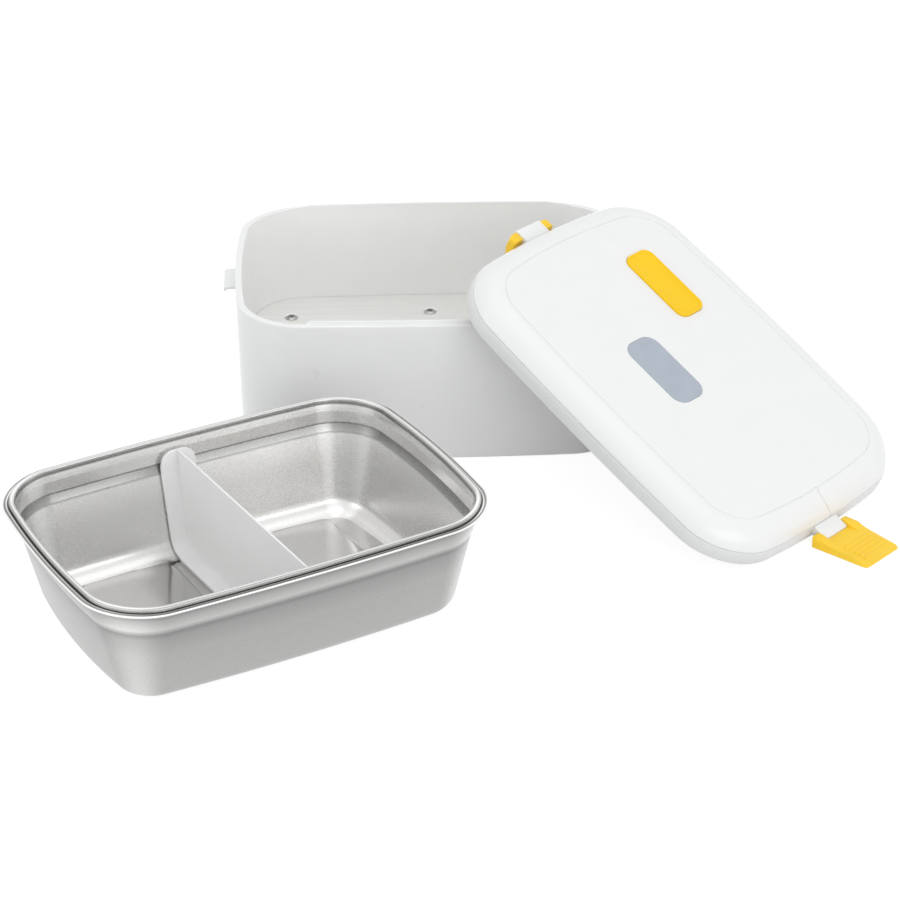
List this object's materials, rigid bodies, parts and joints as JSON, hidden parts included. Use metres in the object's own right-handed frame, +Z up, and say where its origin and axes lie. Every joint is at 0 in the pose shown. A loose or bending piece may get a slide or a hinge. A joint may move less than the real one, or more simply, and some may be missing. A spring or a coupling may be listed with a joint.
{
  "type": "electric lunch box",
  "caption": "Electric lunch box: heated case, lift-out steel tray with divider, and lift-off lid with swinging latches and a vent plug.",
  "frame": {"origin": "centre of the case's underside, on the table", "axes": "+Z up, +X along the case's long side, -Y towards the tray"},
  "size_m": [0.4926, 0.4349, 0.121],
  "materials": {
    "white_shell": "satin white",
    "liner_plastic": "satin off-white",
    "foot_silicone": "matt grey",
    "pad_felt": "fibre",
    "plate_metal": "brushed",
    "heater_metal": "raw",
    "strap_steel": "plain",
    "fuse_ceramic": "matt",
    "black_plastic": "matt black",
    "pin_brass": "polished",
    "lead_silicone": "matt",
    "gasket_silicone": "matt white",
    "inlay_grey": "satin grey-blue",
    "vent_yellow": "satin yellow",
    "latch_yellow": "satin yellow",
    "tray_steel": "brushed",
    "divider_clear": "translucent white",
    "screw_steel": "bright"
  },
  "bodies": {
    "case": {"outer_case": "white_shell", "foot_ring": "foot_silicone", "insulation_pad": "pad_felt", "inner_liner": "liner_plastic", "heating_plate": "plate_metal", "plate_screw_1": "screw_steel", "plate_screw_2": "screw_steel", "plate_screw_3": "screw_steel", "plate_screw_4": "screw_steel", "plate_screw_5": "screw_steel", "plate_screw_6": "screw_steel", "base_screw_1": "screw_steel", "base_screw_2": "screw_steel", "base_screw_3": "screw_steel", "base_screw_4": "screw_steel", "heater_1": "heater_metal", "heater_2": "heater_metal", "heater_clamp_1": "strap_steel", "heater_clamp_2": "strap_steel", "clamp_screw_1": "screw_steel", "clamp_screw_2": "screw_steel", "clamp_screw_3": "screw_steel", "clamp_screw_4": "screw_steel", "thermostat": "strap_steel", "thermal_fuse": "fuse_ceramic", "inlet_housing": "black_plastic", "inlet_pin_1": "pin_brass", "inlet_pin_2": "pin_brass", "lead_1": "lead_silicone", "lead_2": "lead_silicone"},
    "lid": {"lid_cover": "white_shell", "lid_base": "white_shell", "lid_gasket": "gasket_silicone", "lid_inlay": "inlay_grey", "near_hinge_pin": "strap_steel", "far_hinge_pin": "strap_steel"},
    "vent": {"vent_plug": "vent_yellow"},
    "near_latch": {"near_latch": "latch_yellow"},
    "far_latch": {"far_latch": "latch_yellow"},
    "tray": {"tray": "tray_steel"},
    "divider": {"divider": "divider_clear"}
  },
  "joints": [
    {"name": "lid_lift", "type": "slide", "parent": "case", "child": "lid", "axis": [0, 0, 1], "range_m": [0, 0.12]},
    {"name": "near_latch_hinge", "type": "hinge", "parent": "lid", "child": "near_latch", "pos_m": [0.21769, -0.17928, 0.00397], "axis": [0.704, 0.7102, 0], "range_deg": [-30, 116.64]},
    {"name": "far_latch_hinge", "type": "hinge", "parent": "lid", "child": "far_latch", "pos_m": [0.05773, -0.02071, 0.11696], "axis": [0.704, 0.7102, 0], "range_deg": [0, 146.64]},
    {"name": "vent_lift", "type": "slide", "parent": "lid", "child": "vent", "axis": [0.3184, -0.3157, 0.8938], "range_m": [0, 0.006]},
    {"name": "tray_lift", "type": "slide", "parent": "case", "child": "tray", "axis": [0, 0, 1], "range_m": [0, 0.12]},
    {"name": "divider_lift", "type": "slide", "parent": "tray", "child": "divider", "axis": [0, 0, 1], "range_m": [0, 0.08]}
  ]
}
